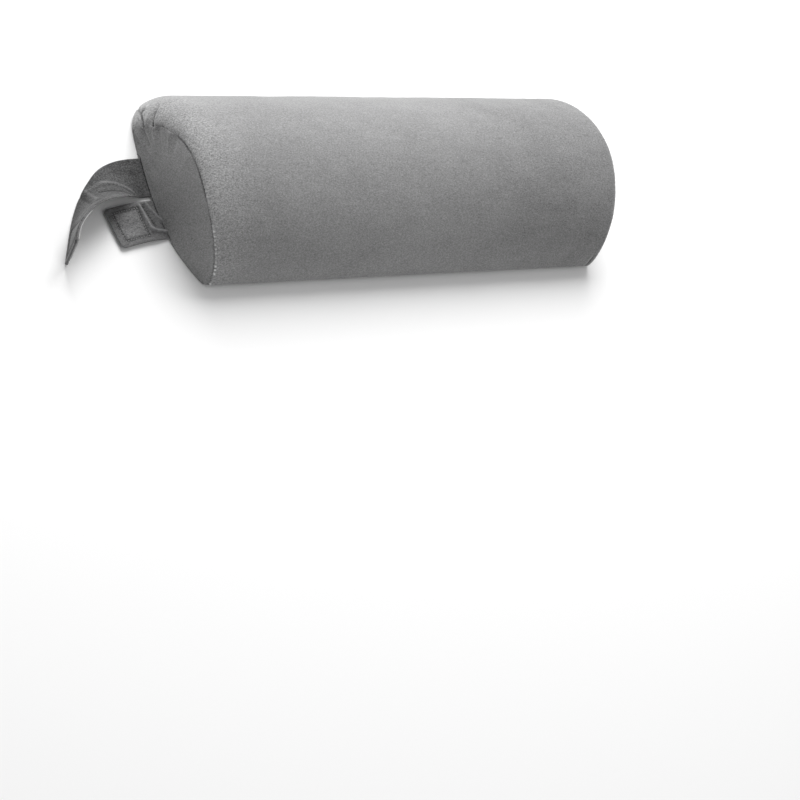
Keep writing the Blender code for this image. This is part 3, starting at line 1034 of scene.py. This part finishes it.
def hook_tree():
    """Stands a small bent hook on every point of a mesh, along its normal."""
    inputs = (
        ("Geometry", "Geometry"),
        ("Height", "Float", HOOK_HEIGHT),
        ("Thickness", "Float", HOOK_THICK),
        ("Nylon", "Material"),
    )
    outputs = (("Geometry", "Geometry"),)
    tree, given, result = new_group("hook_bed", "GeometryNodeTree", inputs, outputs)
    arc = add_node(tree, "GeometryNodeCurveQuadraticBezier", {"Resolution": 4, **HOOK_ARC})
    thin = add_node(
        tree, "ShaderNodeMath", {0: given["Thickness"], 1: given["Height"]}, operation="DIVIDE"
    )
    wire = add_node(
        tree, "GeometryNodeCurvePrimitiveCircle", {"Resolution": 4, "Radius": thin.outputs["Value"]}
    )
    bent = {"Curve": arc.outputs["Curve"], "Profile Curve": wire.outputs["Curve"], "Fill Caps": True}
    hook = add_node(tree, "GeometryNodeCurveToMesh", bent)
    normal = add_node(tree, "GeometryNodeInputNormal")
    turn = add_node(
        tree, "FunctionNodeAlignRotationToVector", {"Vector": normal.outputs["Normal"]}, axis="Z"
    )
    lay_and_finish(
        tree,
        result,
        given["Geometry"],
        hook.outputs["Mesh"],
        turn.outputs["Rotation"],
        given["Height"],
        given["Nylon"],
    )
    return tree


def tape_grid(strap, shift, count):
    """along and across of a square grid over a tape at the strap's free end."""
    end = strap.length - TAPE_INSET
    along = np.linspace(end - TAPE_SIDE, end, count)
    across = np.linspace(shift - TAPE_SIDE / 2, shift + TAPE_SIDE / 2, count)
    return np.meshgrid(along, across, indexing="ij")


def grid_faces(count):
    """The quads of a square grid with count points a side."""
    faces = []
    for row in range(count - 1):
        for column in range(count - 1):
            corner = row * count + column
            faces.append((corner, corner + 1, corner + count + 1, corner + count))
    return faces


def make_tape_web(name, strap, shift, near, far):
    """A tape's woven ground: a thin slab under the strap, between two distances from its middle."""
    count = TAPE_STEPS
    along, across = tape_grid(strap, shift, count)
    centre, sideways, up = strap.frames(along.ravel())
    middle = centre + sideways * across.ravel()[:, None]
    inset = np.minimum.reduce(
        [along - along.min(), along.max() - along, across - across.min(), across.max() - across]
    ).ravel()
    selvedge = 1.0 - SELVEDGE_THINNER * bell(inset, SELVEDGE_WIDTH)
    top = middle - up * near
    bottom = middle - up * (near + (far - near) * selvedge)[:, None]
    points = np.concatenate([top, bottom])
    points[:, 2] = np.maximum(points[:, 2], 0.0)
    faces = []
    for quad in grid_faces(count):
        faces.append(quad)
        faces.append(tuple(index + count * count for index in reversed(quad)))
    rim = list(range(count - 1))
    rim += [row * count + count - 1 for row in range(count - 1)]
    rim += [count * count - 1 - column for column in range(count - 1)]
    rim += [(count - 1 - row) * count for row in range(count - 1)]
    for first, second in zip(rim, rim[1:] + rim[:1]):
        faces.append((first, second, second + count * count, first + count * count))
    return mesh_object(name, points, faces)


def make_hooks(strap, shift, off, nylon):
    """The hooks of a tape, on a grid of points that faces away from the strap."""
    count = round(TAPE_SIDE / HOOK_PITCH) - 1
    along, across = tape_grid(strap, shift, count)
    middle = (along.mean(), across.mean())
    along = middle[0] + (along - middle[0]) * HOOKS_WITHIN
    across = middle[1] + (across - middle[1]) * HOOKS_WITHIN
    centre, sideways, up = strap.frames(along.ravel())
    points = centre + sideways * across.ravel()[:, None] - up * off
    data = bpy.data.meshes.new("tape_hooks")
    data.from_pydata([tuple(point) for point in points], [], grid_faces(count))
    data.update()
    facing = Vector(-up[0])
    if data.polygons[0].normal.dot(facing) < 0.0:
        data.flip_normals()
    return grown(new_object("tape_hooks", data), hook_tree(), {"Nylon": nylon})


def calculate(group, operation, *terms):
    """Adds one step of arithmetic to a group, and gives its result."""
    return add_node(group, "ShaderNodeMath", dict(enumerate(terms)), operation=operation).outputs["Value"]


def tinted(group, colour, tone):
    """A colour made lighter or darker by a tone."""
    shade = add_node(group, "ShaderNodeVectorMath", {0: colour, "Scale": tone}, operation="SCALE")
    return shade.outputs["Vector"]


def stretched_noise(group, vector, scale, detail, stretch, distortion):
    """Noise from -0.5 to 0.5, stretched along the pile's lie."""
    laid = {"Vector": vector, "Scale": stretch, "Rotation": (0.0, 0.0, PILE_TURN)}
    mapping = add_node(group, "ShaderNodeMapping", laid)
    turned = mapping.outputs["Vector"]
    values = {"Vector": turned, "Scale": scale, "Detail": detail, "Distortion": distortion}
    texture = add_node(group, "ShaderNodeTexNoise", values)
    return calculate(group, "SUBTRACT", texture.outputs["Fac"], 0.5)


def velvet_pile():
    """Short pile: brushed patches that lean either way, fine strokes, and the grain of single tufts."""
    inputs = (
        ("Vector", "Vector"),
        ("Colour", "Color", (0.2, 0.2, 0.2, 1.0)),
        ("Brushing", "Float", 0.1),
        ("Grain", "Float", 0.15),
        ("Wear", "Float", 0.0),
        ("Crushed", "Float", 0.0),
    )
    outputs = (("Colour", "Color"), ("Roughness", "Float"), ("Height", "Float"))
    group, given, result = new_group("velvet_pile", "ShaderNodeTree", inputs, outputs)
    crushed = given["Crushed"]
    broad, strokes, nap, tufts, hairs = (
        stretched_noise(group, given["Vector"], **row) for row in PILE_NOISE.values()
    )
    lean = calculate(group, "MULTIPLY_ADD", strokes, STROKES_IN_LEAN, broad)
    lean = calculate(group, "MULTIPLY", lean, given["Brushing"])
    grain = calculate(group, "MULTIPLY_ADD", hairs, HAIRS_IN_GRAIN, tufts)
    grain = calculate(group, "MULTIPLY_ADD", nap, NAP_IN_GRAIN, grain)
    livelier = calculate(group, "MULTIPLY_ADD", crushed, CRUSHED_GRAIN, 1.0)
    grain = calculate(group, "MULTIPLY", grain, livelier)
    grain = calculate(group, "MULTIPLY", grain, given["Grain"])
    tone = calculate(group, "ADD", calculate(group, "ADD", lean, grain), 1.0)
    tone = calculate(group, "MULTIPLY_ADD", crushed, CRUSHED_TONE, tone)
    # Painted shade darkens the pile, and painted highlight, below zero, lightens it
    tone = calculate(group, "MULTIPLY_ADD", given["Wear"], -PAINTED_SHADE_TONE, tone)
    tone = calculate(group, "MAXIMUM", tone, DARKEST_TONE)
    roughness = calculate(group, "MULTIPLY_ADD", lean, LEAN_ROUGHNESS, PILE_ROUGHNESS)
    livelier_nap = calculate(group, "MULTIPLY", nap, livelier)
    relief = calculate(group, "MULTIPLY_ADD", hairs, HAIRS_IN_RELIEF, tufts)
    relief = calculate(group, "MULTIPLY_ADD", livelier_nap, NAP_IN_RELIEF, relief)
    group.links.new(tinted(group, given["Colour"], tone), result["Colour"])
    group.links.new(roughness, result["Roughness"])
    group.links.new(relief, result["Height"])
    return group


def woven_nylon():
    """Nylon tape: two crossed sets of fine ribs, and the mottling of its filaments."""
    inputs = (
        ("Vector", "Vector"),
        ("Colour", "Color", (0.3, 0.3, 0.3, 1.0)),
        ("Rib Scale", "Float", 500.0),
        ("Rib Depth", "Float", 0.5),
        ("Mottling Scale", "Float", 900.0),
    )
    outputs = (("Colour", "Color"), ("Height", "Float"))
    group, given, result = new_group("woven_nylon", "ShaderNodeTree", inputs, outputs)
    rib = {"Vector": given["Vector"], "Scale": given["Rib Scale"], "Distortion": 0.6}
    ribs = [
        add_node(group, "ShaderNodeTexWave", rib, bands_direction=direction).outputs["Fac"]
        for direction in ("X", "Y")
    ]
    spots = {"Vector": given["Vector"], "Scale": given["Mottling Scale"], "Detail": 4.0}
    mottle = add_node(group, "ShaderNodeTexNoise", spots)
    weave = calculate(group, "MULTIPLY", *ribs)
    weave = calculate(group, "MULTIPLY", weave, given["Rib Depth"])
    height = calculate(group, "MULTIPLY_ADD", mottle.outputs["Fac"], MOTTLING_IN_WEAVE, weave)
    tone = calculate(group, "MULTIPLY_ADD", height, WEAVE_TONE, WEAVE_DARKEST)
    group.links.new(tinted(group, given["Colour"], tone), result["Colour"])
    group.links.new(height, result["Height"])
    return group


def plain_material(name, colour, roughness):
    made = bpy.data.materials.new(name)
    made.use_nodes = True
    made.diffuse_color = (*colour, 1.0)
    shader = made.node_tree.nodes["Principled BSDF"]
    shader.inputs["Base Color"].default_value = (*colour, 1.0)
    shader.inputs["Roughness"].default_value = roughness
    return made, made.node_tree, shader


def add_relief(tree, shader, height, strength, distance):
    """Lets a height tilt the shader's normal."""
    values = {"Strength": strength, "Distance": distance, "Height": height}
    relief = add_node(tree, "ShaderNodeBump", values)
    tree.links.new(relief.outputs["Normal"], shader.inputs["Normal"])


def velvet(name, pile, colour, brushing, grain, sheen):
    """Velvet, with its own values for the shared pile, which reads two values stored on the mesh."""
    made, tree, shader = plain_material(name, colour, roughness=0.85)
    values = {
        "Vector": add_node(tree, "ShaderNodeTexCoord").outputs["Object"],
        "Colour": (*colour, 1.0),
        "Brushing": brushing,
        "Grain": grain,
    }
    # The mesh's painted shade and highlight, and how crushed its pile is
    for stored, socket in (("painted_shade_map", "Wear"), ("crushed", "Crushed")):
        value = add_node(tree, "ShaderNodeAttribute", attribute_name=stored)
        values[socket] = value.outputs["Fac"]
    surface = add_node(tree, "ShaderNodeGroup", values, node_tree=pile)
    tree.links.new(surface.outputs["Colour"], shader.inputs["Base Color"])
    tree.links.new(surface.outputs["Roughness"], shader.inputs["Roughness"])
    add_relief(tree, shader, surface.outputs["Height"], strength=0.5, distance=0.0004)
    shader.inputs["Sheen Weight"].default_value = sheen
    shader.inputs["Sheen Roughness"].default_value = 0.4
    shader.inputs["Specular IOR Level"].default_value = 0.2
    return made


def thread_material():
    """Twisted thread: fine slanting bands that change its shade and relief."""
    made, tree, shader = plain_material("sewing_thread", THREAD, roughness=0.6)
    place = add_node(tree, "ShaderNodeTexCoord")
    twist = add_node(
        tree,
        "ShaderNodeTexWave",
        {"Vector": place.outputs["Object"], "Scale": 900.0, "Distortion": 1.0},
        wave_type="BANDS",
        bands_direction="DIAGONAL",
    )
    shades = add_node(tree, "ShaderNodeValToRGB", {"Fac": twist.outputs["Fac"]})
    for element, shade in zip(shades.color_ramp.elements, THREAD_SHADES):
        element.color = (*(value * shade for value in THREAD), 1.0)
    tree.links.new(shades.outputs["Color"], shader.inputs["Base Color"])
    add_relief(tree, shader, twist.outputs["Fac"], strength=0.5, distance=0.0001)
    return made


def tape_material(name, weave, colour, roughness, values, depth):
    """A tape's nylon, with its own values for the shared weave and the depth of its relief."""
    made, tree, shader = plain_material(name, colour, roughness)
    place = add_node(tree, "ShaderNodeTexCoord")
    given = {"Vector": place.outputs["Object"], "Colour": (*colour, 1.0), **values}
    surface = add_node(tree, "ShaderNodeGroup", given, node_tree=weave)
    tree.links.new(surface.outputs["Colour"], shader.inputs["Base Color"])
    add_relief(tree, shader, surface.outputs["Height"], strength=0.8, distance=depth)
    return made


def finish_with(made, finish):
    made.data.materials.clear()
    made.data.materials.append(finish)


def make_camera():
    data = bpy.data.cameras.new("camera")
    data.sensor_width = CAMERA_SENSOR
    data.lens = CAMERA_LENS
    data.clip_start = 0.1
    data.clip_end = 60.0
    camera = new_object("camera", data)
    back = CAMERA_RIGHT.cross(CAMERA_UP)
    turned = Matrix((CAMERA_RIGHT, CAMERA_UP, back)).transposed().to_4x4()
    camera.matrix_world = Matrix.Translation(CAMERA_AT) @ turned
    bpy.context.scene.camera = camera


def make_floor():
    side = FLOOR_HALF_SIDE
    corners = [(x * side, y * side, FLOOR_TOP) for x, y in ((-1, -1), (1, -1), (1, 1), (-1, 1))]
    floor = mesh_object("floor", corners, [(0, 1, 2, 3)])
    finish_with(floor, plain_material("floor_paint", FLOOR_WHITE, roughness=0.9)[0])


def softbox(name, place, size, power):
    data = bpy.data.lights.new(name, "AREA")
    data.shape = "RECTANGLE"
    data.size, data.size_y = size
    data.energy = power
    lamp = new_object(name, data)
    lamp.location = place
    lamp.rotation_euler = (Vector(LIGHT_TARGET) - Vector(place)).to_track_quat("-Z", "Y").to_euler()


def make_light():
    world = bpy.data.worlds.new("studio")
    bpy.context.scene.world = world
    world.use_nodes = True
    sky = world.node_tree.nodes["Background"]
    sky.inputs["Color"].default_value = (1.0, 1.0, 1.0, 1.0)
    sky.inputs["Strength"].default_value = WORLD_STRENGTH
    for light in LIGHTS:
        softbox(**light)
    bpy.context.scene.view_settings.view_transform = "Standard"


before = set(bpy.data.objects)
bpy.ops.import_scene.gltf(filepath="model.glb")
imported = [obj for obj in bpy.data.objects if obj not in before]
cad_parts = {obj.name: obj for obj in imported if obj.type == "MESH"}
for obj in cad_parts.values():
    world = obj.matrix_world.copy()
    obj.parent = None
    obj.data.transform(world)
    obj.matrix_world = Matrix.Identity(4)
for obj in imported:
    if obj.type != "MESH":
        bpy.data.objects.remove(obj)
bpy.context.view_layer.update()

pile = velvet_pile()
cover_velvet = velvet("cover_velvet", pile, VELVET, brushing=0.28, grain=0.85, sheen=0.5)
# The straps' velvet: the cover's velvet with painted shade in its darker colour
strap_velvet_painted_shade = velvet("strap_velvet_painted_shade", pile, STRAP_VELVET_PAINTED_SHADE, brushing=0.90, grain=0.95, sheen=0.22)
thread = thread_material()
weave = woven_nylon()
hook_nylon = tape_material("hook_nylon", weave, HOOK_GREY, roughness=0.5, values=HOOK_WEAVE, depth=0.0002)
loop_nylon = tape_material("loop_nylon", weave, LOOP_GREY, roughness=0.95, values=LOOP_WEAVE, depth=0.0006)

# shade is the painted shade on each strap's free part
short = Strap(SHORT_UNDER + SHORT_FREE, SHORT_CREASES, shade=0.1, rise=short_rise)
long = Strap(LONG_UNDER + LONG_FREE, LONG_CREASES, shade=1.5)

cover = make_cover(((long, LONG_UNDER), (short, SHORT_UNDER)))
finish_with(cover, cover_velvet)
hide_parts("pillow")
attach(cover, "root")

short_band = make_strap("short_velvet_strap", short, step=0.0013)
finish_with(short_band, strap_velvet_painted_shade)
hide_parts("short_strap")

long_band = make_strap("long_velvet_strap", long, step=0.0020)
finish_with(long_band, strap_velvet_painted_shade)
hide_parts("long_strap")

stitches = stitch_tree()
short_thread = grown(edges_object("short_strap_thread", stitch_lines(short)), stitches, {"Thread": thread})
long_thread = grown(edges_object("long_strap_thread", stitch_lines(long)), stitches, {"Thread": thread})

tape_top = STRAP_THICK / 2 + SEAT
loop_off = STRAP_THICK / 2 + GAP + TAPE_THICK
loop_ground = make_tape_web("loop_pile_tape", short, shift=0.0, near=tape_top, far=loop_off)
finish_with(loop_ground, loop_nylon)
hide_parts("loop_tape")

hook_shift = (STRAP_WIDTH - TAPE_SIDE) / 2
hook_off = STRAP_THICK / 2 + GAP + TAPE_WEB
hook_ground = make_tape_web("hook_tape_ground", long, shift=hook_shift, near=tape_top, far=hook_off)
finish_with(hook_ground, hook_nylon)
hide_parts("hook_tape")
hooks = make_hooks(long, hook_shift, hook_off, hook_nylon)

for piece in (short_band, long_band, short_thread, long_thread, loop_ground, hook_ground, hooks):
    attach(piece, "root")

make_camera()
make_floor()
make_light()
